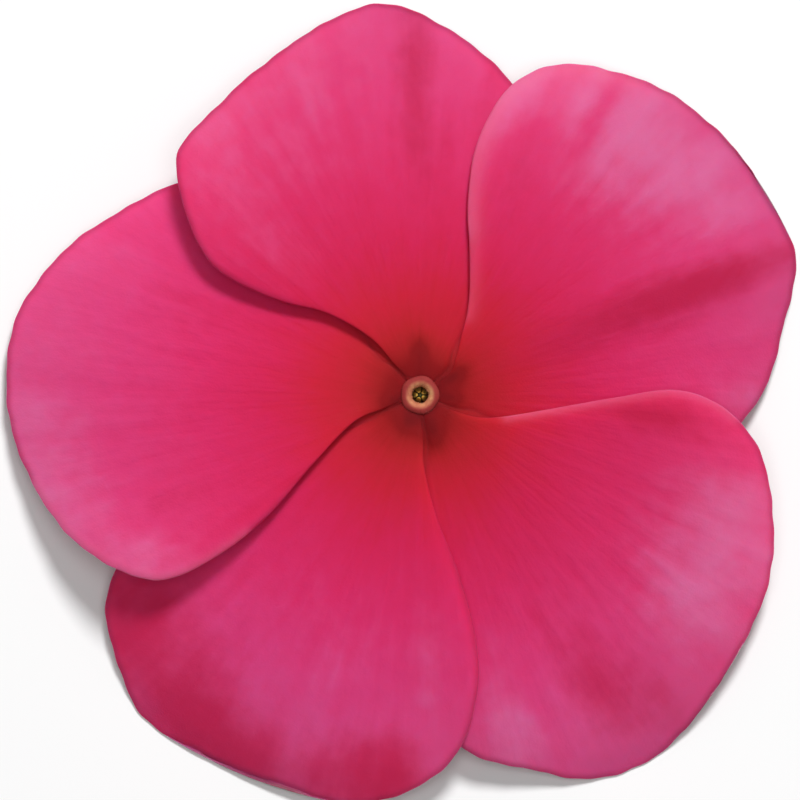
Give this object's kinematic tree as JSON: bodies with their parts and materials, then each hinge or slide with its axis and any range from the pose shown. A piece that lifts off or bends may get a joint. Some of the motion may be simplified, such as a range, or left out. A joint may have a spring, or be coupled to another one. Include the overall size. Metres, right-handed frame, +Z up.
{
  "type": "madagascar periwinkle flower",
  "caption": "Picked pinwheel-shaped flower lying face up, with overlapping petals round a narrow cream-ringed throat, and its slender bent tube, calyx and cut stalk lying beneath them.",
  "frame": {"origin": "on the surface the flower lies on, under the middle of its bounding box", "axes": "+Z up, out of the flower's face; +Y towards the top petal; +X to the right as the face is seen"},
  "size_m": [0.048, 0.0488, 0.0068],
  "materials": {
    "petal": "velvety",
    "tube": "satin",
    "throat_ring": "fuzzy",
    "stamens": "powdery",
    "pistil": "moist",
    "green": "downy"
  },
  "bodies": {
    "root": {"petal_1": "petal", "petal_2": "petal", "petal_3": "petal", "petal_4": "petal", "petal_5": "petal", "corolla_tube": "tube", "throat_ring": "throat_ring", "stamens": "stamens", "pistil": "pistil", "calyx": "green", "pedicel": "green"}
  },
  "joints": []
}
